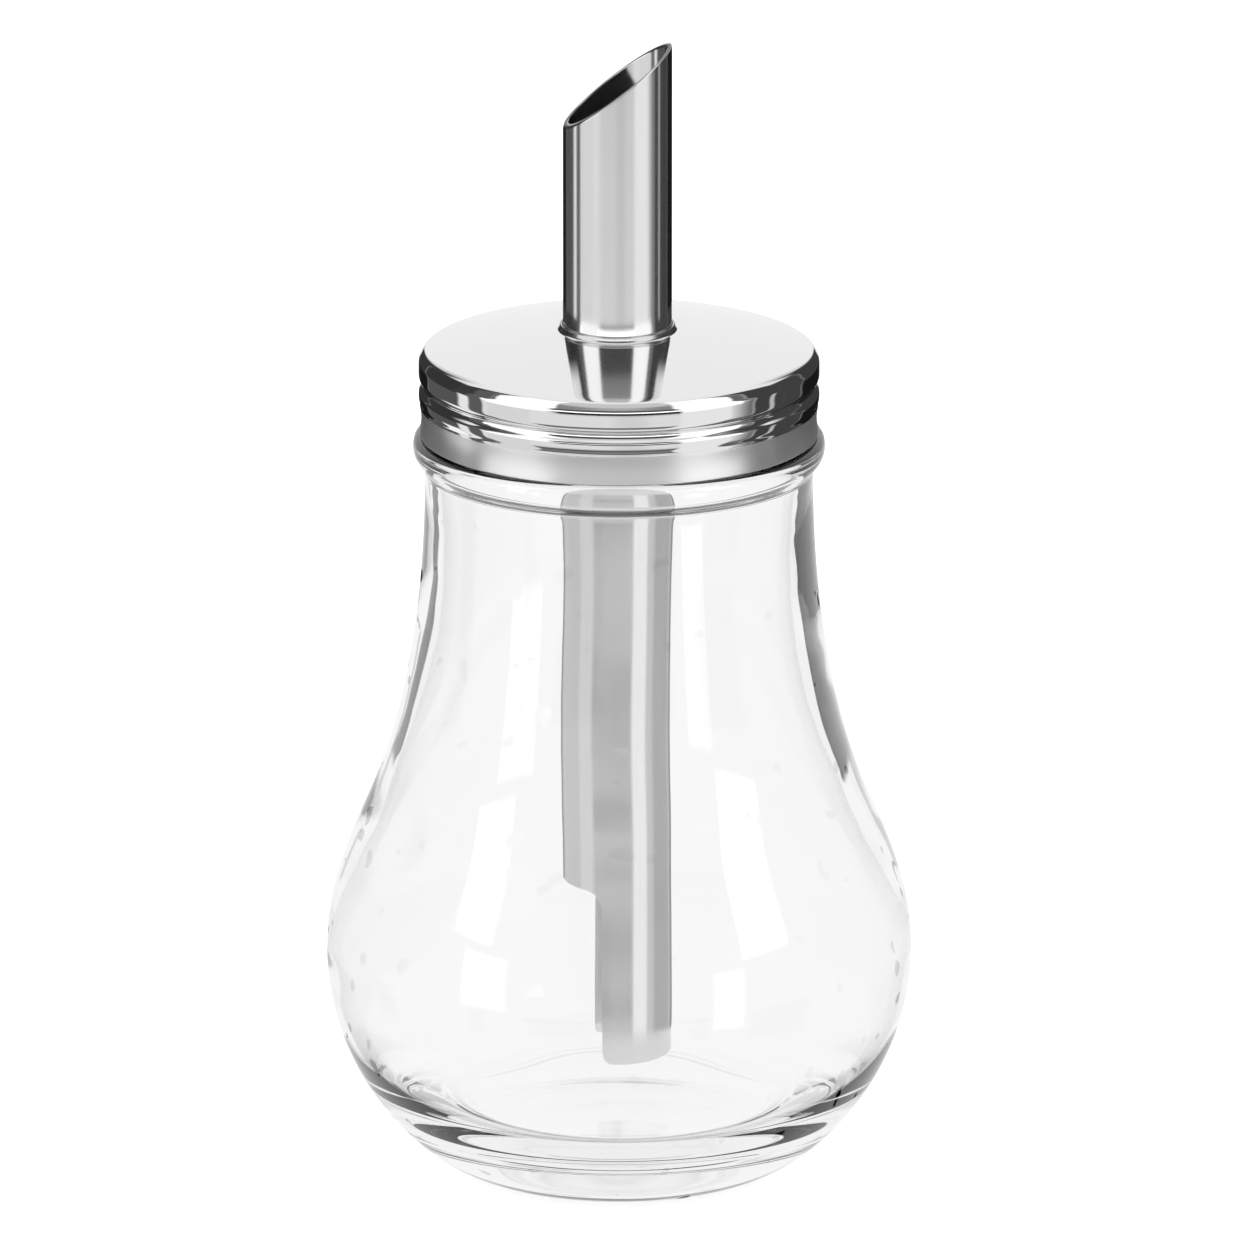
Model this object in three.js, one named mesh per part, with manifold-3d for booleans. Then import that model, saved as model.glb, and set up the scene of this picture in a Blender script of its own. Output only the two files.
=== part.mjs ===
// Glass sugar dispenser: a pear-shaped clear jar, a domed steel screw cap and
// the steel dosing tube that passes through the cap down to the jar's floor.
// Millimetres, +Z up, origin at the centre of the foot that stands on the table.
// -Y is the front: from there the spout is cut low on the left, high on the right.

import * as THREE from 'three';
import { mergeVertices } from 'three/addons/utils/BufferGeometryUtils.js';
import Module from 'manifold-3d';

const wasm = await Module();
wasm.setup();

// ---------------------------------------------------------------- sizes (mm)

const TURN = 44;              // facets round the jar and the cap
const TUBE_TURN = 48;         // facets round the tube

// jar, outside
const BELLY_R = 40.0;         // widest radius of the bulb
const BELLY_Z = 30.3;         // height of the widest circle
const BELLY_PULL_DOWN = 17.2; // how long the wall stays upright below it
const BELLY_PULL_UP = 9.5;    // and above it
const FOOT_R = 19.6;          // edge of the standing ring
const FOOT_PULL_R = 7.3;      // outward pull of the rounded foot
const FOOT_PULL_Z = 0.6;
const RING_R = 17.4;          // inner edge of the flat standing ring
const PUSH_UP = 0.3;          // shallow hollow under the foot
const WAIST_R = 33.3;         // where the shoulder turns from bulb to neck
const WAIST_Z = 53.9;
const WAIST_LEAN = 0.38;      // its lean from upright, rad
const WAIST_PULL_DOWN = 7.7;
const WAIST_PULL_UP = 11.1;
const NECK_R = 26.4;          // neck below the bead
const NECK_Z = 98.0;
const NECK_PULL = 18.6;

// jar, bead under the cap and the finish that the cap covers
const BEAD_R = 28.0;          // outermost radius of the bead
const BEAD_Z = 101.7;         // height of that circle
const BEAD_LOW = 99.6;        // where the bead leaves the neck
const BEAD_TOP = 103.2;
const FINISH_R = 25.6;        // plain mouth ring inside the cap
const FINISH_TOP = 112.4;
const MOUTH_R = 22.9;         // opening of the mouth

// jar, inside
const FLOOR_Z = 8.6;          // top of the thick glass floor
const FLOOR_R = 22.4;         // flat part of the floor
const FLOOR_PULL = 9.0;       // how far the floor runs into the corner
const IN_BELLY_R = 38.75;
const IN_BELLY_Z = 30.3;
const IN_BELLY_PULL_DOWN = 15.2;
const IN_BELLY_PULL_UP = 4.5;
const IN_WAIST_R = 30.9;
const IN_WAIST_Z = 52.9;
const IN_WAIST_LEAN = 0.36;
const IN_WAIST_PULL_DOWN = 12.0;
const IN_WAIST_PULL_UP = 9.7;
const IN_NECK_R = 23.6;
const IN_NECK_Z = 91.2;
const IN_NECK_PULL = 22.0;
const CAVITY_SHIFT = 0.5;     // the glass is thicker on the right at the shoulder
const SHIFT_Z = 64;           // height of the largest shift
const SHIFT_REACH = 30;       // it fades out this far above and below

// cap
// the cap's side, (radius, height): skirt with its shallow hollow, thread bead,
// groove, rim bead and the slope up to the lid
const CAP_SIDE = [
  [27.12, 103.5], [26.90, 104.9], [26.85, 105.8], [27.01, 107.2], [27.07, 108.0],
  [27.20, 108.7], [27.17, 109.4], [26.85, 109.82], [26.62, 110.45], [26.79, 110.9],
  [27.11, 111.35], [27.20, 111.8], [27.20, 113.3],
];
const CAP_EDGE = [[27.13, 113.90], [26.78, 114.53], [26.50, 114.93], [26.10, 115.10]];
const CAP_EDGE_IN = [[26.49, 113.72], [26.30, 114.10], [26.02, 114.42], [25.70, 114.55]];
const CAP_WALL = 0.6;
const LID_R = 25.3;           // where the domed top starts
const LID_Z = 115.3;          // and its height there
const DOME_R = 107;           // radius of the domed top
const COLLAR_RISE = 0.8;      // turned-up edge round the tube
const COLLAR_FLARE = 0.5;
const FIT_GAP = 0.3;          // clearance between the separate pieces

// tube
const TUBE_R = 7.4;
const TUBE_WALL = 0.7;
const TUBE_BOTTOM = 16.0;
const SPOUT_MID = 152.1;      // height of the slanted mouth on the tube's axis
const SPOUT_SLOPE = 0.765;    // rise of the mouth for each mm to the right
const NOTCH_TOP = 39.6;       // top of the cut-away side
const NOTCH_X = -2.5;         // the cut's flat face, left of the axis
const NOTCH_TURN = 0.07;      // turned a little towards the front, rad
const NOTCH_ROUND = 2.4;      // rounding at the top of the cut
const TOE_ROUND = 1.3;        // rounded lower corner

// ---------------------------------------------------------------- helpers

const v2 = (x, y) => new THREE.Vector2(x, y);

// points along one cubic curve, without its first point
function curve(a, b, c, d, n) {
  return new THREE.CubicBezierCurve(a, b, c, d).getPoints(n).slice(1);
}

// points on an arc of the profile, without its first point
function arc(cx, cz, r, from, to, n) {
  const out = [];
  for (let i = 1; i <= n; i++) {
    const t = from + (to - from) * i / n;
    out.push(v2(cx + r * Math.cos(t), cz + r * Math.sin(t)));
  }
  return out;
}

function weld(geometry) {
  const g = geometry.clone();
  g.deleteAttribute('normal');
  g.deleteAttribute('uv');
  return mergeVertices(g, 1e-4);
}

function solid(geometry) {
  const g = weld(geometry);
  return new wasm.Manifold(new wasm.Mesh({
    numProp: 3,
    vertProperties: new Float32Array(g.attributes.position.array),
    triVerts: new Uint32Array(g.index.array),
  }));
}

function toGeometry(manifold) {
  const m = manifold.getMesh();
  const g = new THREE.BufferGeometry();
  g.setAttribute('position', new THREE.BufferAttribute(new Float32Array(m.vertProperties), 3));
  g.setIndex(new THREE.BufferAttribute(new Uint32Array(m.triVerts), 1));
  g.computeVertexNormals();
  return g;
}

// a turned body about +Z from a profile of (radius, height)
function turned(profile, segments) {
  const g = new THREE.LatheGeometry(profile, segments);
  g.rotateX(Math.PI / 2);
  return g;
}

// ---------------------------------------------------------------- jar

function jarProfile() {
  const lean = (a) => v2(-Math.sin(a), Math.cos(a));
  const waist = v2(WAIST_R, WAIST_Z);
  const up = lean(WAIST_LEAN);
  const inWaist = v2(IN_WAIST_R, IN_WAIST_Z);
  const inUp = lean(IN_WAIST_LEAN);
  const pts = [];
  // under the foot: hollow, then the flat standing ring
  pts.push(v2(0, PUSH_UP), v2(RING_R * 0.55, PUSH_UP * 0.7), v2(RING_R, 0), v2(FOOT_R, 0));
  // outside, foot to belly, belly to waist, waist to neck
  pts.push(...curve(v2(FOOT_R, 0), v2(FOOT_R + FOOT_PULL_R, FOOT_PULL_Z),
    v2(BELLY_R, BELLY_Z - BELLY_PULL_DOWN), v2(BELLY_R, BELLY_Z), 9));
  pts.push(...curve(v2(BELLY_R, BELLY_Z), v2(BELLY_R, BELLY_Z + BELLY_PULL_UP),
    waist.clone().addScaledVector(up, -WAIST_PULL_DOWN), waist, 6));
  pts.push(...curve(waist, waist.clone().addScaledVector(up, WAIST_PULL_UP),
    v2(NECK_R, NECK_Z - NECK_PULL), v2(NECK_R, NECK_Z), 6));
  // bead under the cap
  pts.push(...curve(v2(NECK_R, NECK_Z), v2(NECK_R, BEAD_LOW),
    v2(BEAD_R, BEAD_LOW), v2(BEAD_R, BEAD_Z), 4));
  pts.push(...curve(v2(BEAD_R, BEAD_Z), v2(BEAD_R, BEAD_TOP),
    v2(BEAD_R - 0.8, BEAD_TOP), v2(FINISH_R, BEAD_TOP), 3));
  // mouth ring, rounded over its top
  const half = (FINISH_R - MOUTH_R) / 2;
  pts.push(...arc(FINISH_R - half, FINISH_TOP - half, half, 0, Math.PI, 4));
  const mouthLow = v2(MOUTH_R, FINISH_TOP - half - 3);
  pts.push(mouthLow);
  const outerCount = pts.length;
  // inside, down the neck and the bulb to the floor
  pts.push(...curve(mouthLow, v2(MOUTH_R, 104), v2(IN_NECK_R, 100), v2(IN_NECK_R, IN_NECK_Z), 2));
  pts.push(...curve(v2(IN_NECK_R, IN_NECK_Z), v2(IN_NECK_R, IN_NECK_Z - IN_NECK_PULL),
    inWaist.clone().addScaledVector(inUp, IN_WAIST_PULL_UP), inWaist, 6));
  pts.push(...curve(inWaist, inWaist.clone().addScaledVector(inUp, -IN_WAIST_PULL_DOWN),
    v2(IN_BELLY_R, IN_BELLY_Z + IN_BELLY_PULL_UP), v2(IN_BELLY_R, IN_BELLY_Z), 5));
  pts.push(...curve(v2(IN_BELLY_R, IN_BELLY_Z), v2(IN_BELLY_R, IN_BELLY_Z - IN_BELLY_PULL_DOWN),
    v2(FLOOR_R + FLOOR_PULL, FLOOR_Z), v2(FLOOR_R, FLOOR_Z), 7));
  pts.push(v2(0, FLOOR_Z));
  return { pts, outerCount };
}

function makeJar() {
  const { pts, outerCount } = jarProfile();
  const g = turned(pts, TURN);
  // the cavity stands a little to the left of the outside in the shoulder
  const p = g.attributes.position;
  for (let i = 0; i < p.count; i++) {
    if (i % pts.length < outerCount) continue;
    const d = Math.abs(p.getZ(i) - SHIFT_Z) / SHIFT_REACH;
    if (d < 1) p.setX(i, p.getX(i) - CAVITY_SHIFT * 0.5 * (1 + Math.cos(Math.PI * d)));
  }
  return g;
}

// ---------------------------------------------------------------- cap

// line of the cap from the skirt's lower edge up over the dome to the tube,
// its outside with inset 0 and its inside with inset CAP_WALL
function capLine(inset) {
  const domeZ = (r) => LID_Z - inset + (LID_R * LID_R - r * r) / (2 * DOME_R);
  const hole = TUBE_R + FIT_GAP;
  const pts = CAP_SIDE.map(([r, z]) => v2(r - inset, z));
  for (const [r, z] of inset > 0 ? CAP_EDGE_IN : CAP_EDGE) pts.push(v2(r, z));
  for (const r of [22, 17, 12]) pts.push(v2(r, domeZ(r)));
  pts.push(v2(hole + COLLAR_FLARE + inset, domeZ(hole + COLLAR_FLARE)));
  return { pts, hole, domeZ };
}

function makeCap() {
  const out = capLine(0);
  const inn = capLine(CAP_WALL);
  const collarTop = out.domeZ(out.hole) + COLLAR_RISE;
  const pts = [...out.pts,
    v2(out.hole + COLLAR_FLARE * 0.6, collarTop),
    v2(out.hole, collarTop),
    v2(out.hole, inn.domeZ(out.hole)),
    ...inn.pts.slice(0, -1).reverse()];
  pts.push(pts[0].clone());
  return turned(pts, TURN);
}

// ---------------------------------------------------------------- tube

function makeTube() {
  const top = SPOUT_MID + SPOUT_SLOPE * TUBE_R + 3;
  const length = top - TUBE_BOTTOM;
  const stock = new THREE.CylinderGeometry(TUBE_R, TUBE_R, length, TUBE_TURN);
  stock.rotateX(Math.PI / 2);
  stock.translate(0, 0, TUBE_BOTTOM + length / 2);
  const bore = new THREE.CylinderGeometry(TUBE_R - TUBE_WALL, TUBE_R - TUBE_WALL, length + 10, TUBE_TURN);
  bore.rotateX(Math.PI / 2);
  bore.translate(0, 0, TUBE_BOTTOM + length / 2);

  // slanted mouth: everything above a plane that rises to the right
  const waste = new THREE.BoxGeometry(60, 60, 40);
  waste.translate(0, 0, 20);
  waste.rotateY(-Math.atan(SPOUT_SLOPE));
  waste.translate(0, 0, SPOUT_MID);

  // side cut: a flat face left of the axis, rounded into a level shoulder
  const cut = new THREE.Shape();
  cut.moveTo(-20, TUBE_BOTTOM - 5);
  cut.lineTo(NOTCH_X + TOE_ROUND, TUBE_BOTTOM - 5);
  cut.lineTo(NOTCH_X + TOE_ROUND, TUBE_BOTTOM);
  cut.absarc(NOTCH_X + TOE_ROUND, TUBE_BOTTOM + TOE_ROUND, TOE_ROUND, -Math.PI / 2, -Math.PI, true);
  cut.lineTo(NOTCH_X, NOTCH_TOP - NOTCH_ROUND);
  cut.absarc(NOTCH_X - NOTCH_ROUND, NOTCH_TOP - NOTCH_ROUND, NOTCH_ROUND, 0, Math.PI / 2, false);
  cut.lineTo(-20, NOTCH_TOP);
  cut.closePath();
  const side = new THREE.ExtrudeGeometry(cut, { depth: 40, bevelEnabled: false, curveSegments: 5 });
  side.rotateX(Math.PI / 2);        // the drawing's y becomes z, the depth runs along -y
  side.translate(0, 20, 0);
  side.rotateZ(NOTCH_TURN);

  return toGeometry(solid(stock).subtract(solid(bore)).subtract(solid(waste)).subtract(solid(side)));
}

// ---------------------------------------------------------------- scene graph

function piece(name, geometry, material) {
  const mesh = new THREE.Mesh(geometry, material);
  mesh.name = name;
  return mesh;
}

const glass = new THREE.MeshStandardMaterial({ color: 0xf2f5f4, roughness: 0.04, metalness: 0, transparent: true, opacity: 0.35 });
const polished = new THREE.MeshStandardMaterial({ color: 0xdcdcdc, roughness: 0.12, metalness: 1 });
const brushed = new THREE.MeshStandardMaterial({ color: 0xcfcfcf, roughness: 0.3, metalness: 1 });

const dispenser = new THREE.Group();
dispenser.add(piece('jar', makeJar(), glass));

const dosing = new THREE.Group();     // the cap and the tube lift off together
dosing.add(piece('cap', makeCap(), polished));
dosing.add(piece('tube', makeTube(), brushed));
dispenser.add(dosing);

export default dispenser;
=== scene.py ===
import math
import bpy
import numpy as np
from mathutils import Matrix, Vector


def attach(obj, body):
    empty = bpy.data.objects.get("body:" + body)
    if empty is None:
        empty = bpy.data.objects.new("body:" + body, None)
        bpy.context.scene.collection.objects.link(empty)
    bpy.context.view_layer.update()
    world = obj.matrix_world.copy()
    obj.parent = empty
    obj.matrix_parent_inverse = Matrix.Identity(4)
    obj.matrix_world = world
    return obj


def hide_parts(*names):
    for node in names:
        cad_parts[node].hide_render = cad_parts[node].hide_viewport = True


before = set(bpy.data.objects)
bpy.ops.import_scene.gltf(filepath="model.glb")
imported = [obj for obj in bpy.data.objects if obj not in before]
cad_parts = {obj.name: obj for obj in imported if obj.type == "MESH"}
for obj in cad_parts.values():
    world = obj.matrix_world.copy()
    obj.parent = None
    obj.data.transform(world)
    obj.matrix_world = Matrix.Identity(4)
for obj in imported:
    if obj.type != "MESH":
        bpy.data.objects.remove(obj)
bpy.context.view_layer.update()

MM = 0.001
PI = math.pi

# ------------------------------------------------------------------ sizes (mm), as in the frame
BELLY_R, BELLY_Z, BELLY_PULL_DOWN, BELLY_PULL_UP = 40.0, 30.3, 17.2, 9.5
FOOT_R, FOOT_PULL_R, FOOT_PULL_Z = 19.6, 7.3, 0.6
RING_R, PUSH_UP = 17.4, 0.3
WAIST_R, WAIST_Z, WAIST_LEAN, WAIST_PULL_DOWN, WAIST_PULL_UP = 33.3, 53.9, 0.38, 7.7, 11.1
NECK_R, NECK_Z, NECK_PULL = 26.4, 98.0, 18.6
BEAD_R, BEAD_Z, BEAD_LOW, BEAD_TOP = 28.0, 101.7, 99.6, 103.2
FINISH_R, FINISH_TOP, MOUTH_R = 25.6, 112.4, 22.9
FLOOR_Z, FLOOR_R, FLOOR_PULL = 8.6, 22.4, 9.0
IN_BELLY_R, IN_BELLY_Z, IN_BELLY_PULL_DOWN, IN_BELLY_PULL_UP = 38.75, 30.3, 15.2, 4.5
IN_WAIST_R, IN_WAIST_Z, IN_WAIST_LEAN = 30.9, 52.9, 0.36
IN_WAIST_PULL_DOWN, IN_WAIST_PULL_UP = 12.0, 9.7
IN_NECK_R, IN_NECK_Z, IN_NECK_PULL = 23.6, 91.2, 22.0
CAVITY_SHIFT, SHIFT_Z, SHIFT_REACH = 0.5, 64.0, 30.0
CAP_WALL, DOME_R, COLLAR_RISE = 0.6, 107.0, 0.8
TUBE_R, TUBE_WALL, TUBE_BOTTOM = 7.4, 0.7, 16.0
TUBE_SHIFT = 0.22          # the tube and its collar sit this far left of the axis, within the hole's clearance
SPOUT_MID, SPOUT_SLOPE = 152.1, 0.765
NOTCH_TOP, NOTCH_X, NOTCH_TURN, NOTCH_ROUND, TOE_ROUND = 39.6, -2.5, 0.07, 2.4, 1.3


# ------------------------------------------------------------------ curves and meshes
def P(r, z):
    return np.array([r, z], float)


def bez(a, b, c, d, n):
    """n points along a cubic curve, without its first point."""
    t = (np.arange(1, n + 1) / n)[:, None]
    return (1 - t) ** 3 * a + 3 * (1 - t) ** 2 * t * b + 3 * (1 - t) * t ** 2 * c + t ** 3 * d


def arc(cx, cz, r, a0, a1, n):
    t = a0 + (a1 - a0) * np.arange(1, n + 1) / n
    return np.stack([cx + r * np.cos(t), cz + r * np.sin(t)], 1)


def make_object(name, verts, faces, smooth=True):
    """verts in mm."""
    me = bpy.data.meshes.new(name)
    me.from_pydata((np.asarray(verts) * MM).tolist(), [], faces)
    me.validate()
    me.polygons.foreach_set("use_smooth", [smooth] * len(me.polygons))
    me.update()
    ob = bpy.data.objects.new(name, me)
    bpy.context.scene.collection.objects.link(ob)
    return ob


def grid_faces(rows, cols, wrap_rows, start=0):
    """Quads of a grid of rows x cols points whose columns close round."""
    out = []
    for i in range(rows if wrap_rows else rows - 1):
        a, b = start + i * cols, start + ((i + 1) % rows) * cols
        for j in range(cols):
            k = (j + 1) % cols
            out.append((a + j, a + k, b + k, b + j))
    return out


# ------------------------------------------------------------------ jar
JAR_TURN = 256


def jar_profile():
    """Rows of (radius, height, inside) from the axis under the foot, over the outside, into the cavity and back to the axis."""
    lean = lambda a: P(-math.sin(a), math.cos(a))
    waist, up = P(WAIST_R, WAIST_Z), lean(WAIST_LEAN)
    inw, inup = P(IN_WAIST_R, IN_WAIST_Z), lean(IN_WAIST_LEAN)
    outer, inner = [], []
    for r in np.linspace(0.6, RING_R - 0.5, 12):
        outer.append(P(r, PUSH_UP * (1 - (r / RING_R) ** 2)))
    outer += list(bez(P(RING_R - 0.5, PUSH_UP * (1 - ((RING_R - 0.5) / RING_R) ** 2)), P(RING_R - 0.2, 0.006), P(RING_R, 0), P(RING_R + 0.4, 0), 4))
    outer += [P(18.3, 0), P(18.8, 0), P(19.3, 0)]
    outer += list(bez(P(FOOT_R, 0), P(FOOT_R + FOOT_PULL_R, FOOT_PULL_Z), P(BELLY_R, BELLY_Z - BELLY_PULL_DOWN), P(BELLY_R, BELLY_Z), 44))
    outer += list(bez(P(BELLY_R, BELLY_Z), P(BELLY_R, BELLY_Z + BELLY_PULL_UP), waist - up * WAIST_PULL_DOWN, waist, 26))
    outer += list(bez(waist, waist + up * WAIST_PULL_UP, P(NECK_R, NECK_Z - NECK_PULL), P(NECK_R, NECK_Z), 34))
    outer += list(bez(P(NECK_R, NECK_Z), P(NECK_R, BEAD_LOW), P(BEAD_R, BEAD_LOW), P(BEAD_R, BEAD_Z), 14))
    outer += list(bez(P(BEAD_R, BEAD_Z), P(BEAD_R, BEAD_TOP), P(BEAD_R - 0.8, BEAD_TOP), P(FINISH_R, BEAD_TOP), 12))
    half = (FINISH_R - MOUTH_R) / 2
    outer += [P(FINISH_R, z) for z in (103.6, 105.0, 107.0, 109.0, 110.6)]
    outer += list(arc(FINISH_R - half, FINISH_TOP - half, half, 0, PI, 14))
    low = P(MOUTH_R, FINISH_TOP - half - 3)
    inner.append(low)
    inner += list(bez(low, P(MOUTH_R, 104), P(IN_NECK_R, 100), P(IN_NECK_R, IN_NECK_Z), 14))
    inner += list(bez(P(IN_NECK_R, IN_NECK_Z), P(IN_NECK_R, IN_NECK_Z - IN_NECK_PULL), inw + inup * IN_WAIST_PULL_UP, inw, 30))
    inner += list(bez(inw, inw - inup * IN_WAIST_PULL_DOWN, P(IN_BELLY_R, IN_BELLY_Z + IN_BELLY_PULL_UP), P(IN_BELLY_R, IN_BELLY_Z), 24))
    inner += list(bez(P(IN_BELLY_R, IN_BELLY_Z), P(IN_BELLY_R, IN_BELLY_Z - IN_BELLY_PULL_DOWN), P(FLOOR_R + FLOOR_PULL, FLOOR_Z), P(FLOOR_R, FLOOR_Z), 40))
    # a faint pressed line runs round the edge of the floor
    for r in np.linspace(FLOOR_R - 0.15, FLOOR_R - 2.1, 14):
        inner.append(P(r, FLOOR_Z - 0.035 * math.exp(-((r - FLOOR_R + 1.1) / 0.36) ** 2)))
    for r in np.linspace(FLOOR_R - 3.0, 0.6, 11):
        inner.append(P(r, FLOOR_Z))
    return np.array(outer), np.array(inner)


def make_jar():
    outer, inner = jar_profile()
    prof = np.concatenate([outer, inner])
    inside = np.arange(len(prof)) >= len(outer)
    ang = np.arange(JAR_TURN) * 2 * PI / JAR_TURN
    r, z = prof[:, 0][:, None], prof[:, 1][:, None] + 0 * ang[None]
    # blown glass: the wall isn't quite even, mostly on the inside
    fade_in = np.where(inside[:, None], 1.0, 0.0) * np.clip((z - 9.0) / 8.0, 0, 1)
    wave = (0.045 * np.sin(2 * ang + 0.11 * z + 0.6) + 0.035 * np.sin(3 * ang - 0.16 * z + 2.1)
            + 0.018 * np.sin(5 * ang + 0.23 * z) + 0.010 * np.sin(0.9 * z + 1.3 * np.sin(ang + 0.5)))
    rr = r + fade_in * wave
    x, y = rr * np.sin(ang), -rr * np.cos(ang)
    d = np.abs(z - SHIFT_Z) / SHIFT_REACH
    shift = np.where(d < 1, CAVITY_SHIFT * 0.5 * (1 + np.cos(PI * d)), 0)
    x = x - np.where(inside[:, None], shift, 0)
    pts = np.stack([x, y, z], -1).reshape(-1, 3)
    n = len(prof)
    verts = np.concatenate([pts, [[0, 0, PUSH_UP], [0, 0, FLOOR_Z]]])
    # ang runs from the front to the right, so these quads face outward
    faces = grid_faces(n, JAR_TURN, False)
    bottom, floor = n * JAR_TURN, n * JAR_TURN + 1
    last = (n - 1) * JAR_TURN
    for j in range(JAR_TURN):
        k = (j + 1) % JAR_TURN
        faces.append((bottom, k, j))
        faces.append((floor, last + j, last + k))
    return make_object("jar_glass", verts, faces)


# ------------------------------------------------------------------ cap
CAP_TURN = 240


# the cap's side from its lower edge over the two beads to the lid: (radius, height)
CAP_SIDE = [(27.12, 103.5), (27.05, 104.0), (26.90, 104.9), (26.85, 105.8), (26.91, 106.6), (27.01, 107.2), (27.05, 107.6),
            (27.05, 107.85), (27.07, 108.0), (27.12, 108.2), (27.165, 108.4), (27.19, 108.65), (27.20, 109.0), (27.195, 109.3),
            (27.17, 109.42), (27.11, 109.54), (26.99, 109.68), (26.86, 109.82), (26.745, 109.97), (26.68, 110.12),
            (26.635, 110.3), (26.62, 110.5), (26.66, 110.66), (26.76, 110.84), (26.93, 111.05), (27.08, 111.28),
            (27.17, 111.52), (27.20, 111.8), (27.20, 112.5), (27.20, 113.2), (27.185, 113.62), (27.13, 113.90),
            (26.97, 114.20), (26.76, 114.56), (26.60, 114.80), (26.42, 114.98), (26.10, 115.10)]
CAP_EDGE_IN = [(26.49, 113.72), (26.30, 114.10), (26.02, 114.42), (25.70, 114.55)]


def spline(points, n):
    """Smooth curve through the points, n steps for each span."""
    p = np.array(points, float)
    m = np.zeros_like(p)
    m[1:-1] = (p[2:] - p[:-2]) / 2
    m[0], m[-1] = p[1] - p[0], p[-1] - p[-2]
    out = [p[0]]
    for i in range(len(p) - 1):
        for j in range(1, n + 1):
            t = j / n
            out.append((2 * t ** 3 - 3 * t ** 2 + 1) * p[i] + (t ** 3 - 2 * t ** 2 + t) * m[i]
                       + (-2 * t ** 3 + 3 * t ** 2) * p[i + 1] + (t ** 3 - t ** 2) * m[i + 1])
    return out


def cap_line(inset, dense=1):
    dome = lambda r: 115.3 - inset + (25.3 * 25.3 - r * r) / (2 * DOME_R)
    hole = TUBE_R + 0.1
    side = spline(CAP_SIDE, 2 * dense)
    if inset:
        pts = [p - P(inset, 0) for p in side if p[1] < 113.4] + [P(*q) for q in CAP_EDGE_IN]
    else:
        pts = side
    for r in np.linspace(25.3, hole + 1.1, 14 * dense):
        pts.append(P(r, dome(r)))
    return pts, hole, dome


def make_cap():
    out, hole, dome = cap_line(0, 2)
    inn, _, in_dome = cap_line(CAP_WALL, 1)
    top = dome(hole) + COLLAR_RISE
    pts = list(out)
    # the sheet turns up round the tube in a small collar
    a = P(hole + 0.75, dome(hole + 0.75))
    pts += list(bez(a, P(hole + 0.40, a[1] + 0.04), P(hole + 0.355, a[1] + 0.30), P(hole + 0.32, top - 0.14), 10))
    pts += list(bez(pts[-1], P(hole + 0.31, top), P(hole + 0.05, top), P(hole, top - 0.12), 6))
    pts += [P(hole, top - 0.5), P(hole, in_dome(hole) + 0.1), P(hole + 0.1, in_dome(hole))]
    pts += [p for p in reversed(inn)]
    # rolled lower edge
    lo_out = P(*CAP_SIDE[0])
    lo_in = lo_out - P(CAP_WALL, 0)
    pts = pts[1:-1]
    pts += [lo_in + P(0, 0.18), lo_in + P(0.05, 0.05), lo_in + P(0.18, 0), lo_out - P(0.18, 0), lo_out + P(-0.05, 0.05), lo_out + P(0, 0.18)]
    prof = np.array(pts)
    ang = np.arange(CAP_TURN) * 2 * PI / CAP_TURN
    r, z = prof[:, 0][:, None], prof[:, 1][:, None] + 0 * ang[None]
    x, y = r * np.sin(ang), -r * np.cos(ang)
    x = x - TUBE_SHIFT * np.clip((11.0 - r) / 2.5, 0, 1)
    verts = np.stack([x, y, z], -1).reshape(-1, 3)
    faces = grid_faces(len(prof), CAP_TURN, True)
    ob = make_object("cap_steel", verts, faces)
    me = ob.data
    # material 0 skirt and beads, 1 lid, 2 collar round the tube (its darker colour is painted shade)
    cz = np.zeros(len(me.polygons) * 3, np.float32)
    me.polygons.foreach_get("center", cz)
    cz = cz.reshape(-1, 3) / MM
    rad = np.hypot(cz[:, 0], cz[:, 1])
    idx = np.where((cz[:, 2] > 115.03) & (rad < 26.3), 1, 0)
    idx = np.where((cz[:, 2] > dome(hole) + 0.03) & (rad < hole + 0.8), 2, idx)
    me.polygons.foreach_set("material_index", idx.astype(np.int32))
    return ob


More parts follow.
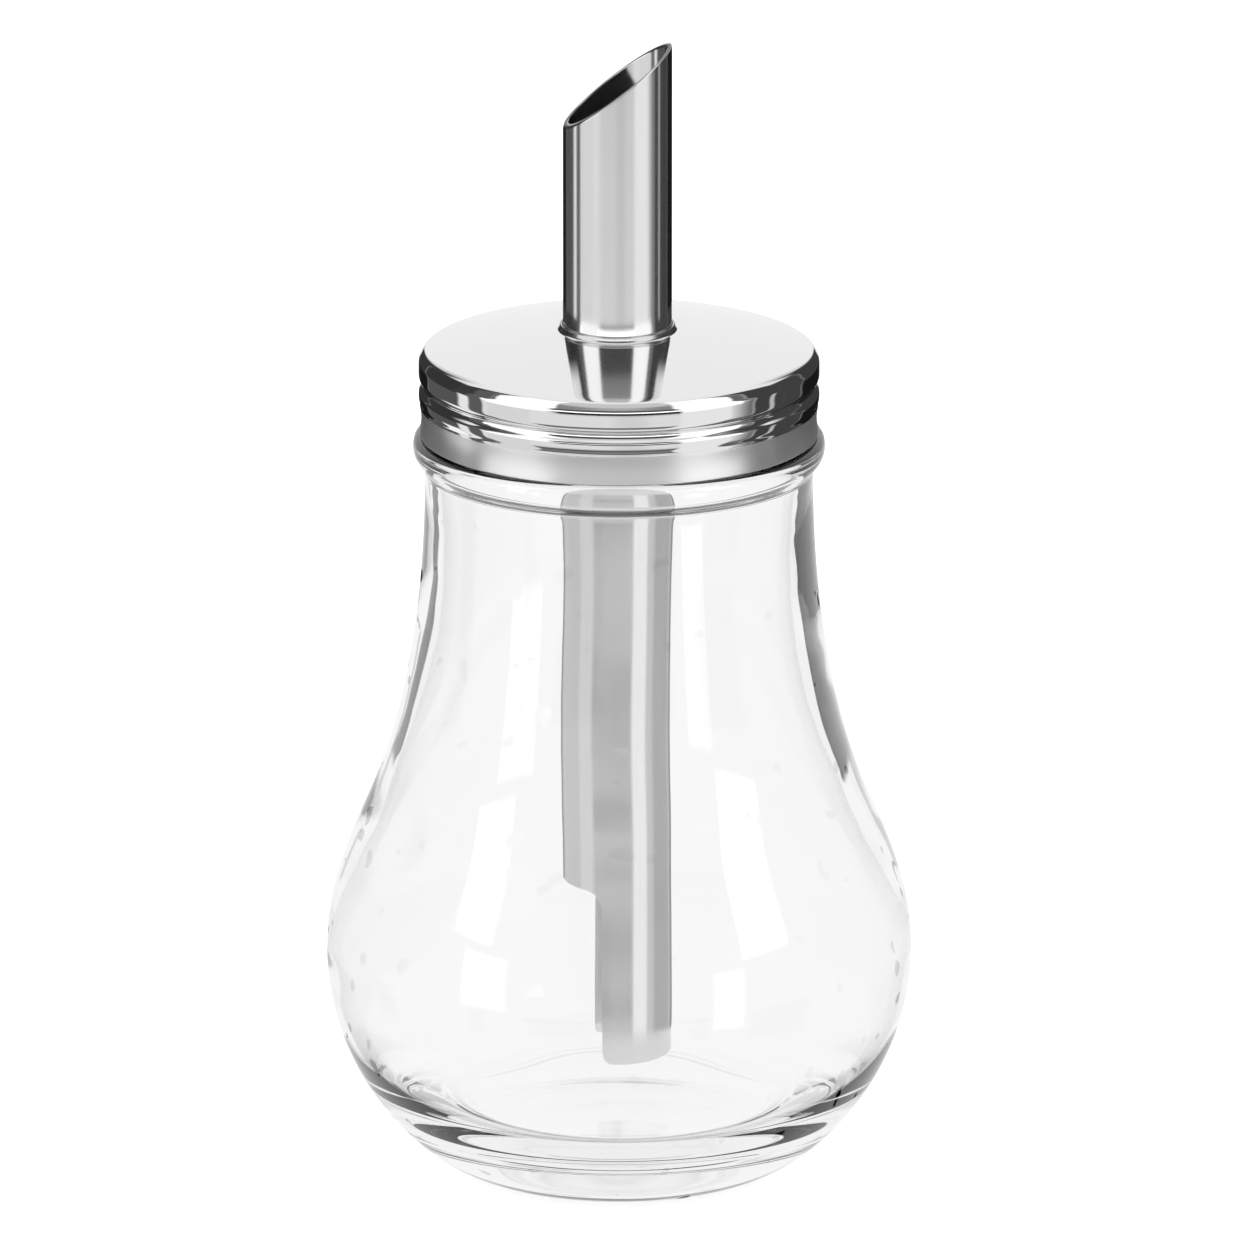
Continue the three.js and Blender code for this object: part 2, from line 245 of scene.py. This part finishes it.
# ------------------------------------------------------------------ tube
def make_tube():
    """A closed sheet: each column runs up the outside, over the spout's edge, down the bore and round the lower edge."""
    ro, ri = TUBE_R, TUBE_R - TUBE_WALL
    edge = math.acos(-NOTCH_X / ro)          # half angle of the cut-away side, outside
    # columns, as angles measured from the middle of the cut-away side
    n_cut, n_side, n_toe, n_rest = 40, 14, 8, 150
    bottoms = []                              # (x' on the cut or None, angle fraction, z)
    s0 = NOTCH_X - NOTCH_ROUND
    # half of the columns, from the cut's middle to the far side; the other half mirrors them
    half = []
    for i in range(n_cut // 2 + 1):          # level top of the cut, then its rounded corner
        x = -ro + (NOTCH_X + ro) * (math.sin(PI / 2 * i / (n_cut // 2)))
        if x <= s0:
            z = NOTCH_TOP
        else:
            z = NOTCH_TOP - NOTCH_ROUND + math.sqrt(max(0, NOTCH_ROUND ** 2 - (x - s0) ** 2))
        half.append((x, z))
    z_hi, z_lo = NOTCH_TOP - NOTCH_ROUND, TUBE_BOTTOM + TOE_ROUND
    for i in range(1, n_side + 1):
        half.append((NOTCH_X, z_hi + (z_lo - z_hi) * i / n_side))
    for i in range(1, n_toe + 1):
        t = PI / 2 * i / n_toe
        half.append((NOTCH_X + TOE_ROUND * (1 - math.cos(t)), TUBE_BOTTOM + TOE_ROUND * (1 - math.sin(t))))
    x_end = half[-1][0]
    a_end = math.acos(-x_end / ro)
    n_half = n_rest // 2
    for i in range(1, n_half + 1):
        a = a_end + (PI - a_end) * i / n_half
        half.append((-ro * math.cos(a), TUBE_BOTTOM))
    xs = np.array([h[0] for h in half])
    zs = np.array([h[1] for h in half])
    m = len(xs)

    def angle_at(x, r):
        """Angle from the cut's middle of the point with that x' on a wall of radius r, kept in step on both walls."""
        return np.arccos(np.clip(-x / r, -1, 1))

    ao = angle_at(xs, ro)
    # on the bore the same x' is used near the cut and the same angle elsewhere
    ai_x = angle_at(np.clip(xs, -ri, ri), ri)
    w = np.clip((xs - (x_end)) / 2.0, 0, 1)
    low = np.clip((-xs - 5.2) / 1.2, 0, 1)
    ai = ai_x * (1 - w) * (1 - low) + ao * (1 - (1 - w) * (1 - low))
    # top angles spread evenly in order
    order = np.linspace(0, 1, m)
    at = ao.copy()
    fan = np.radians(5.0)
    k0, k1 = n_cut // 2, n_cut // 2 + n_side
    at[:k0 + 1] = ao[:k0 + 1] * (edge - fan) / edge
    at[k0:k1 + 1] = np.linspace(edge - fan, edge + fan, n_side + 1)
    rest = ao[k1:]
    at[k1:] = edge + fan + (rest - rest[0]) * (PI - edge - fan) / (PI - rest[0])
    # whole turn: mirrored half, the ends shared
    mirror = np.arange(m - 2, 0, -1)

    def full(a, flip):
        return np.concatenate([a, -a[mirror] if flip else a[mirror]])

    AO, AI, AT, ZB = full(ao, True), full(ai, True), full(at, True), full(zs, False)
    cols = len(AO)

    def pos(a, r, z):
        """a is measured from -X (turned by NOTCH_TURN) towards +Y."""
        t = PI - a + NOTCH_TURN
        return np.stack([r * np.cos(t), r * np.sin(t), z], -1)

    def top_z(a, r):
        t = PI - a + NOTCH_TURN
        return SPOUT_MID + SPOUT_SLOPE * r * np.cos(t)

    rho = 0.16
    rows = []
    n_wall = 26

    def wall(r, AB):
        zt = top_z(AT, r)
        pts = []
        h = zt - ZB
        fr = np.concatenate([[0], (np.array([0.16, 0.42, 1.0]) / 100), np.linspace(0.03, 0.97, n_wall), 1 - (np.array([1.0, 0.42, 0.16]) / 100), [1]])
        for f in fr:
            # the first millimetres stay square to the edge
            a = AB + (AT - AB) * f
            pts.append(pos(a, np.full(cols, r), ZB + h * f))
        return pts

    out = wall(ro, AO)
    inn = wall(ri, AI)

    def rim(e_wall, e_edge, f_edge, f_wall):
        """Rounds the two edges of the cut face between the outer and the inner wall."""
        d1 = f_edge - e_edge
        L = np.linalg.norm(d1, axis=1, keepdims=True)
        q1 = e_edge + d1 / L * np.minimum(rho, L * 0.4)
        q2 = f_edge - d1 / L * np.minimum(rho, L * 0.4)
        pts = []
        for a, b, c in ((e_wall, e_edge, q1), (q2, f_edge, f_wall)):
            for t in (0.0, 0.25, 0.5, 0.75, 1.0):
                pts.append((1 - t) ** 2 * a + 2 * (1 - t) * t * b + t * t * c)
        return pts

    def near(edge_pt, wall_pt, dist):
        d = wall_pt - edge_pt
        return edge_pt + d / np.linalg.norm(d, axis=1, keepdims=True) * dist

    rows = []
    rows += out[1:-1]
    rows[0] = near(out[0], out[4], 0.5)
    rows[1] = near(out[0], out[4], 0.9)
    rows[2] = near(out[0], out[4], 1.6)
    rows[-1] = near(out[-1], out[-5], 0.5)
    rows[-2] = near(out[-1], out[-5], 0.9)
    rows[-3] = near(out[-1], out[-5], 1.6)
    rows += [near(out[-1], out[-5], 0.26)]
    rows += rim(near(out[-1], out[-5], rho), out[-1], inn[-1], near(inn[-1], inn[-5], rho))
    rows += [near(inn[-1], inn[-5], 0.26), near(inn[-1], inn[-5], 0.5), near(inn[-1], inn[-5], 0.9), near(inn[-1], inn[-5], 1.6)]
    rows += list(reversed(inn[4:-4]))
    rows += [near(inn[0], inn[4], 1.6), near(inn[0], inn[4], 0.9), near(inn[0], inn[4], 0.5), near(inn[0], inn[4], 0.26)]
    rows += rim(near(inn[0], inn[4], rho), inn[0], out[0], near(out[0], out[4], rho))
    rows += [near(out[0], out[4], 0.26)]
    verts = np.concatenate(rows) - np.array([TUBE_SHIFT, 0, 0])
    faces = grid_faces(len(rows), cols, True)
    # angles run from the cut's middle towards the back, which turns the quads inside out
    faces = [f[::-1] for f in faces]
    return make_object("tube_steel", verts, faces)


# ------------------------------------------------------------------ node helper
class N:
    """One value in a node tree, with arithmetic."""

    def __init__(self, tree, out):
        self.t, self.o = tree, out

    def _m(self, op, *others, clamp=False):
        n = self.t.nodes.new("ShaderNodeMath")
        n.operation = op
        n.use_clamp = clamp
        for i, v in enumerate((self,) + others):
            if isinstance(v, N):
                self.t.links.new(v.o, n.inputs[i])
            else:
                n.inputs[i].default_value = v
        return N(self.t, n.outputs[0])

    def __add__(self, v): return self._m("ADD", v)
    def __radd__(self, v): return self._m("ADD", v)
    def __sub__(self, v): return self._m("SUBTRACT", v)
    def __mul__(self, v): return self._m("MULTIPLY", v)
    def __rmul__(self, v): return self._m("MULTIPLY", v)
    def __truediv__(self, v): return self._m("DIVIDE", v)
    def inv(self): return self._m("MULTIPLY", -1.0)._m("ADD", 1.0)
    def abs(self): return self._m("ABSOLUTE")
    def sin(self): return self._m("SINE")
    def asin(self): return self._m("ARCSINE")
    def sqrt(self): return self._m("SQRT")
    def power(self, v): return self._m("POWER", v)
    def max(self, v): return self._m("MAXIMUM", v)
    def min(self, v): return self._m("MINIMUM", v)
    def atan2(self, v): return self._m("ARCTAN2", v)

    def step(self, a, b):
        """0 below a, 1 above b, smooth between (a may be above b)."""
        n = self.t.nodes.new("ShaderNodeMapRange")
        n.interpolation_type = "SMOOTHSTEP"
        if a < b:
            n.inputs["From Min"].default_value, n.inputs["From Max"].default_value = a, b
            n.inputs["To Min"].default_value, n.inputs["To Max"].default_value = 0, 1
        else:
            n.inputs["From Min"].default_value, n.inputs["From Max"].default_value = b, a
            n.inputs["To Min"].default_value, n.inputs["To Max"].default_value = 1, 0
        self.t.links.new(self.o, n.inputs["Value"])
        return N(self.t, n.outputs[0])

    def band(self, a, b, soft):
        """1 between a and b, with soft edges."""
        return self.step(a - soft / 2, a + soft / 2) * self.step(b + soft / 2, b - soft / 2)

    def mix(self, other, f):
        """self where f is 0, other where f is 1."""
        if isinstance(other, N):
            return self + (other - self) * f
        return self + (self * -1.0 + other) * f


def tex_noise(tree, vec, scale, detail=2.0, rough=0.5):
    n = tree.nodes.new("ShaderNodeTexNoise")
    n.inputs["Scale"].default_value = scale
    n.inputs["Detail"].default_value = detail
    n.inputs["Roughness"].default_value = rough
    tree.links.new(vec, n.inputs["Vector"])
    return N(tree, n.outputs["Fac"])


def combine(tree, x, y, z):
    n = tree.nodes.new("ShaderNodeCombineXYZ")
    for i, v in enumerate((x, y, z)):
        if isinstance(v, N):
            tree.links.new(v.o, n.inputs[i])
        else:
            n.inputs[i].default_value = v
    return n.outputs[0]


def start_material(name):
    mat = bpy.data.materials.new(name)
    mat.use_nodes = True
    t = mat.node_tree
    t.nodes.clear()
    out = t.nodes.new("ShaderNodeOutputMaterial")
    bsdf = t.nodes.new("ShaderNodeBsdfPrincipled")
    t.links.new(bsdf.outputs[0], out.inputs[0])
    tc = t.nodes.new("ShaderNodeTexCoord")
    sep = t.nodes.new("ShaderNodeSeparateXYZ")
    t.links.new(tc.outputs["Object"], sep.inputs[0])
    x, y, z = (N(t, sep.outputs[i]) * 1000.0 for i in range(3))   # mm
    return mat, t, bsdf, x, y, z


def add_bump(t, bsdf, height, strength, distance_mm):
    b = t.nodes.new("ShaderNodeBump")
    b.inputs["Strength"].default_value = strength
    b.inputs["Distance"].default_value = distance_mm * MM
    t.links.new(height.o, b.inputs["Height"])
    t.links.new(b.outputs[0], bsdf.inputs["Normal"])


def grey_ramp(t, fac, dark, light):
    """Colour between two by a value."""
    n = t.nodes.new("ShaderNodeMix")
    n.data_type = "RGBA"
    t.links.new(fac.o, n.inputs[0])
    n.inputs[6].default_value = (*dark, 1)
    n.inputs[7].default_value = (*light, 1)
    return n.outputs[2]


# ------------------------------------------------------------------ materials
def glass_material():
    mat, t, b, x, y, z = start_material("jar_clear_glass")
    b.inputs["Base Color"].default_value = (0.988, 0.988, 0.987, 1)
    b.inputs["Transmission Weight"].default_value = 1.0
    b.inputs["IOR"].default_value = 1.5
    vec = combine(t, x, y, z * 0.55)
    ripple = tex_noise(t, vec, 0.10, 0.0)
    smudge = tex_noise(t, combine(t, x, y, z), 0.25, 1.0)
    # fire polished: mirror smooth, but for faint smudges
    t.links.new((smudge.step(0.66, 0.80) * 0.02).o, b.inputs["Roughness"])
    add_bump(t, b, ripple, 0.35, 0.10)
    return mat


def steel_material(name, brush, base, rough, aniso, rotate, fine_amount):
    mat, t, b, x, y, z = start_material(name)
    b.inputs["Metallic"].default_value = 1.0
    b.inputs["Anisotropic"].default_value = aniso
    b.inputs["Anisotropic Rotation"].default_value = rotate
    tan = t.nodes.new("ShaderNodeTangent")
    tan.direction_type = "RADIAL"
    tan.axis = "Z"
    t.links.new(tan.outputs[0], b.inputs["Tangent"])
    radius = (x * x + y * y).sqrt()
    angle = y.atan2(x)
    if brush == "round":           # lines round the axis
        vec = combine(t, radius * 1.0, angle * 0.6, z)
        lines = tex_noise(t, combine(t, angle * 0.5, z * 9.0, radius * 9.0), 1.0, 4.0, 0.65)
    elif brush == "along":         # lines along the length
        lines = tex_noise(t, combine(t, angle * 60.0, z * 0.06, 0.0), 1.0, 4.0, 0.65)
    else:                          # satin
        lines = tex_noise(t, combine(t, x, y, z), 3.0, 3.0, 0.6)
    cloud = tex_noise(t, combine(t, x, y, z), 0.12, 3.0, 0.55)
    amount = lines * 0.5 + cloud * 0.25 + 0.62
    if brush == "round":           # the skirt is brushed, the beads above it are polished
        beads = z.step(107.4, 107.6)
        amount = amount * (beads * (0.04 - rough) + rough)
        t.links.new((beads * 0.1 + 0.9).o, b.inputs["Metallic"])
    else:
        amount = amount * rough
    t.links.new(amount.o, b.inputs["Roughness"])
    lo = tuple(c * (1 - 0.05 * fine_amount) for c in base)
    hi = tuple(min(1, c * (1 + 0.04 * fine_amount)) for c in base)
    t.links.new(grey_ramp(t, lines, lo, hi), b.inputs["Base Color"])
    add_bump(t, b, lines, 0.25 * fine_amount, 0.004)
    return mat


# ------------------------------------------------------------------ build
jar = make_jar()
jar.data.materials.append(glass_material())
cap = make_cap()
cap.data.materials.append(steel_material("cap_brushed_steel", "round", (0.82, 0.82, 0.82), 0.36, 0.9, 0.25, 1.0))
cap.data.materials.append(steel_material("cap_satin_steel", "satin", (0.86, 0.86, 0.855), 0.06, 0.0, 0.0, 0.3))
# the collar is the same sheet as the lid, but its darker colour (0.58 against 0.86) is painted shade where the lid
# meets the tube
cap.data.materials.append(steel_material("cap_collar_steel_painted_shade", "satin", (0.58, 0.58, 0.578), 0.20, 0.0, 0.0, 0.4))
tube = make_tube()
tube.data.materials.append(steel_material("tube_drawn_steel", "along", (0.80, 0.80, 0.80), 0.13, 0.3, 0.0, 1.0))

for piece, node, slot in ((jar, "jar", "clear_glass"), (cap, "cap", "cap_steel"), (tube, "tube", "tube_steel")):
    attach(piece, "root")
    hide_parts(node)


# ------------------------------------------------------------------ camera
CAM_EL = math.radians(16.5)
CAM_DIST = 2.5
target = Vector((0.0004, 0.0, 0.0765))
cam_data = bpy.data.cameras.new("camera")
cam_data.lens = 531.3
cam_data.sensor_width = 36.0
cam_data.clip_start, cam_data.clip_end = 0.1, 50.0
cam = bpy.data.objects.new("camera", cam_data)
bpy.context.scene.collection.objects.link(cam)
cam.location = target + Vector((0, -math.cos(CAM_EL), math.sin(CAM_EL))) * CAM_DIST
cam.rotation_mode = "QUATERNION"
cam.rotation_quaternion = (target - cam.location).to_track_quat("-Z", "Y")
bpy.context.scene.camera = cam


# ------------------------------------------------------------------ floor
def make_floor():
    n, R = 96, 1600.0
    verts = [(0, 0, -0.05)] + [(R * math.cos(2 * PI * i / n), R * math.sin(2 * PI * i / n), -0.05) for i in range(n)]
    faces = [(0, 1 + i, 1 + (i + 1) % n) for i in range(n)]
    ob = make_object("floor", verts, faces, smooth=False)
    mat, t, b, x, y, z = start_material("floor_white")
    b.inputs["Base Color"].default_value = (0.93, 0.93, 0.93, 1)
    b.inputs["Roughness"].default_value = 0.8
    b.inputs["Specular IOR Level"].default_value = 0.1
    ob.data.materials.append(mat)
    return ob


floor = make_floor()
floor.visible_glossy = False
floor.visible_transmission = False
# the photograph's table is white right up to the foot: clear glass hardly shades it
for piece in (jar, cap, tube):
    piece.visible_shadow = False


# ------------------------------------------------------------------ studio, by direction
def make_world():
    w = bpy.data.worlds.new("studio")
    bpy.context.scene.world = w
    w.use_nodes = True
    w.cycles.sampling_method = "NONE"       # even light from all round needs no map of its own
    t = w.node_tree
    t.nodes.clear()
    out = t.nodes.new("ShaderNodeOutputWorld")
    bg = t.nodes.new("ShaderNodeBackground")
    t.links.new(bg.outputs[0], out.inputs[0])
    tc = t.nodes.new("ShaderNodeTexCoord")
    sep = t.nodes.new("ShaderNodeSeparateXYZ")
    t.links.new(tc.outputs["Generated"], sep.inputs[0])
    x, y, z = (N(t, sep.outputs[i]) for i in range(3))
    deg = 180 / PI
    el = z.asin() * deg
    az = x.atan2(y * -1.0) * deg            # 0 towards the front, + to the right
    lp = t.nodes.new("ShaderNodeLightPath")
    ray = lambda name: N(t, lp.outputs[name])

    # what polished steel sees: a light table and back wall, dark studio either side, tall soft boxes
    low = el.step(64, 46)
    side = el.step(38, 29)                  # the dark studio ends lower towards the back
    v = az * 0.0 + 0.95
    under = el.step(-12, -14)
    v = v.mix(under * -0.04 + 0.05, az.band(130, 167, 4) * side)
    v = v.mix(0.01, az.step(164, 168) * under)
    v = v.mix(0.06, az.band(108, 131, 6) * side)
    v = v.mix(0.06, az.band(84, 111, 4) * low)
    v = v.mix(under * -0.03 + 0.04, az.band(-167, -143, 5) * side)
    v = v.mix(0.01, az.step(-164, -168) * under)
    v = v.mix(under * 0.06 + 0.04, az.band(-144, -106, 4) * side)
    v = v.mix(0.05, az.band(-110, -85, 3) * el.step(-13, -9) * low)
    v = v.mix(1.1, az.band(-127, -107, 3) * el.band(-44, -21, 3))
    v = v.mix(0.12, az.band(-97, -85, 3) * low)
    v = v.mix(0.55, az.band(97, 101, 2) * el.step(-4, -8))
    front = az.band(-85, 84, 4)
    f = az * 0.0 + 0.86
    f = f.mix(0.76, az.band(-2, 16, 12))
    f = f.mix(0.10, el.step(-20, -32))
    f = f.mix(0.26, el.step(-34, -48))
    f = f.mix(0.90, el.step(-52, -62))
    f = f.mix(0.015, el.band(-13.5, -3, 2.0) * az.band(-37, 42, 8))
    f = f.mix(2.0, el.band(-3, 8, 2.0))
    f = f.mix(0.08, el.step(8, 11))
    f = f.mix(0.28, el.step(34, 38))
    f = f.mix(0.68, el.step(42.5, 45))
    f = f.mix(0.16, az.step(64, 84))
    upper = el.step(-13, -9)
    box_l = (az.band(-82, -53, 3) + az.band(-53, -42, 3) * upper).min(1.0) * el.band(-60, 60, 4)
    box_r = (az.band(36, 68, 4) + az.band(68, 75, 3) * upper).min(1.0) * el.band(-60, 60, 4)
    f = f.mix(upper * 0.50 + 0.80, box_l)
    f = f.mix(upper * 0.38 + 0.95, box_r)
    v = v.mix(f, front)
    v = v.mix(1.0, el.step(58, 72))
    steel = v

    # what the glass mirrors on its outside: a light studio and two window-shaped soft boxes
    m = az * 0.0 + 0.96
    m = m.mix(3.4, az.band(50, 72, 1.5) * el.band(8.5, 58, 1.5))
    m = m.mix(2.6, az.band(37, 50, 1.5) * el.band(-18, 6, 1.5))
    m = m.mix(3.2, az.band(-72, -53, 1.5) * el.band(12.5, 58, 1.5))
    m = m.mix(2.8, az.band(-64, -45, 1.5) * el.band(-11, 9.5, 1.5))

    # what the glass wall sees by total reflection: light, with dark strips either side of each view
    d = x.atan2(y) * deg
    q = d + 45.0
    q = q._m("FLOORED_MODULO", 90.0) - 45.0
    # behind the front view the two dark strips are the cards of make_card()
    aside = d.abs().step(60, 75)
    g = az * 0.0 + 0.93
    g = g.mix(0.34, q.band(10, 36, 5) * el.band(-20, 6, 4) * aside)
    g = g.mix(0.42, q.band(-36, -29, 3) * el.band(-20, 5, 4) * aside)
    g = g.mix(0.32, d.band(6.5, 16.5, 2) * el.band(-13, -1, 2))
    g = g.mix(0.45, d.band(-22, -18, 2) * el.band(-13, -1, 2))
    many = ray("Glossy Depth").step(2.5, 3.5)
    g = g.mix(0.88, many)

    through = az * 0.0 + 0.97
    trans = ray("Is Transmission Ray")
    bounced = ray("Glossy Depth").step(0.25, 0.75)
    deep = ray("Transmission Depth").step(3.25, 3.75)
    # the tube as it looks through the glass, brighter and softer than above the lid
    inside = az * 0.0 + 0.66
    inside = inside.mix(0.63, az.band(-50, 34, 5))
    inside = inside.mix(0.80, az.band(-84, -52, 5))
    inside = inside.mix(1.08, az.band(34, 66, 5))
    inside = inside.mix(0.45, az.band(84, 140, 10))
    inside = inside.mix(0.25, az.step(140, 155))
    inside = inside.mix(0.40, az.step(-150, -160))
    inside = inside.mix(0.44, el.band(-16.2, -13.0, 1.8) * az.band(-50, 32, 8))
    inside = inside.mix(0.85, el.step(-24, -30))
    inside = inside.mix(0.93, el.step(-1, 3))      # turned back up by the foot
    deeper = ray("Transmission Depth").step(4.75, 5.25)
    inside = inside.mix(0.90, deeper)
    seen = through.mix(g.mix(inside, deep), bounced)
    v = steel.mix(m, ray("Is Singular Ray"))
    v = v.mix(seen, trans)
    v = v.mix(1.0, ray("Is Diffuse Ray"))
    v = v.mix(1.05, ray("Is Camera Ray"))
    t.links.new(v.o, bg.inputs["Strength"])
    bg.inputs["Color"].default_value = (1, 1, 1, 1)


make_world()


def make_card(name, a0, a1, z0, z1, soft0, soft1, dark):
    """A curved dark card that stands behind the jar and is seen only by total reflection in its wall."""
    R, n = 60.0, 48
    verts, faces = [], []
    for i in range(n + 1):
        a = math.radians(a0 + (a1 - a0) * i / n)      # measured from straight behind, + to the right
        for z in (z0, z1):
            verts.append((R * math.sin(a), R * math.cos(a), z))
    for i in range(n):
        faces.append((2 * i, 2 * i + 2, 2 * i + 3, 2 * i + 1))
    ob = make_object(name, verts, faces, smooth=False)
    mat = bpy.data.materials.new(name)
    mat.use_nodes = True
    t = mat.node_tree
    t.nodes.clear()
    out = t.nodes.new("ShaderNodeOutputMaterial")
    mix = t.nodes.new("ShaderNodeMixShader")
    clear = t.nodes.new("ShaderNodeBsdfTransparent")
    emit = t.nodes.new("ShaderNodeEmission")
    t.links.new(clear.outputs[0], mix.inputs[1])
    t.links.new(emit.outputs[0], mix.inputs[2])
    t.links.new(mix.outputs[0], out.inputs[0])
    tc = t.nodes.new("ShaderNodeTexCoord")
    sep = t.nodes.new("ShaderNodeSeparateXYZ")
    t.links.new(tc.outputs["Object"], sep.inputs[0])
    x, y, z = (N(t, sep.outputs[i]) * 1000.0 for i in range(3))
    a = x.atan2(y) * (180 / PI)
    lp = t.nodes.new("ShaderNodeLightPath")
    ray = lambda nm: N(t, lp.outputs[nm])
    rough_edge = (z * 0.85).sin() * 0.7 + (z * 0.31).sin() * 0.9
    cover = (a + rough_edge).step(a0 + 1.5, a0 + 1.5 + soft0) * (a + rough_edge).step(a1 - 1.5, a1 - 1.5 - soft1)
    cover = cover * z.step(z0 + 1, z0 + 5)
    only = ray("Is Transmission Ray") * ray("Glossy Depth").step(0.25, 0.75) * ray("Glossy Depth").step(3.5, 2.5) * ray("Transmission Depth").step(3.75, 3.25)
    t.links.new((cover * only).o, mix.inputs[0])
    cloud = (a * 0.6 + z * 0.4).sin() * 0.25 + 0.5
    t.links.new((cloud * (dark * 1.2) + dark * 0.4).o, emit.inputs["Strength"])
    ob.data.materials.append(mat)
    ob.visible_camera = False
    ob.visible_diffuse = False
    ob.visible_glossy = False
    ob.visible_shadow = False
    return ob


make_card("card_right", 26.0, 63.5, 53.0, 120.0, 3.0, 1.0, 0.04)
make_card("card_left", -62.0, -48.0, 53.0, 120.0, 1.5, 1.5, 0.06)


def area(name, loc, size, power, look=(0, 0, 0.06)):
    d = bpy.data.lights.new(name, "AREA")
    d.shape = "RECTANGLE"
    d.size, d.size_y = size
    d.energy = power
    ob = bpy.data.objects.new(name, d)
    bpy.context.scene.collection.objects.link(ob)
    ob.location = loc
    ob.rotation_mode = "QUATERNION"
    ob.rotation_quaternion = (Vector(look) - Vector(loc)).to_track_quat("-Z", "Y")
    return ob


top = area("top_softbox", (0, 0.3, 1.6), (1.6, 1.6), 26.0)
top.visible_glossy = False
top.visible_transmission = False

scene = bpy.context.scene
scene.view_settings.view_transform = "Standard"
scene.view_settings.look = "None"
scene.cycles.max_bounces = 12
scene.cycles.transmission_bounces = 12
scene.cycles.glossy_bounces = 8
scene.cycles.diffuse_bounces = 1
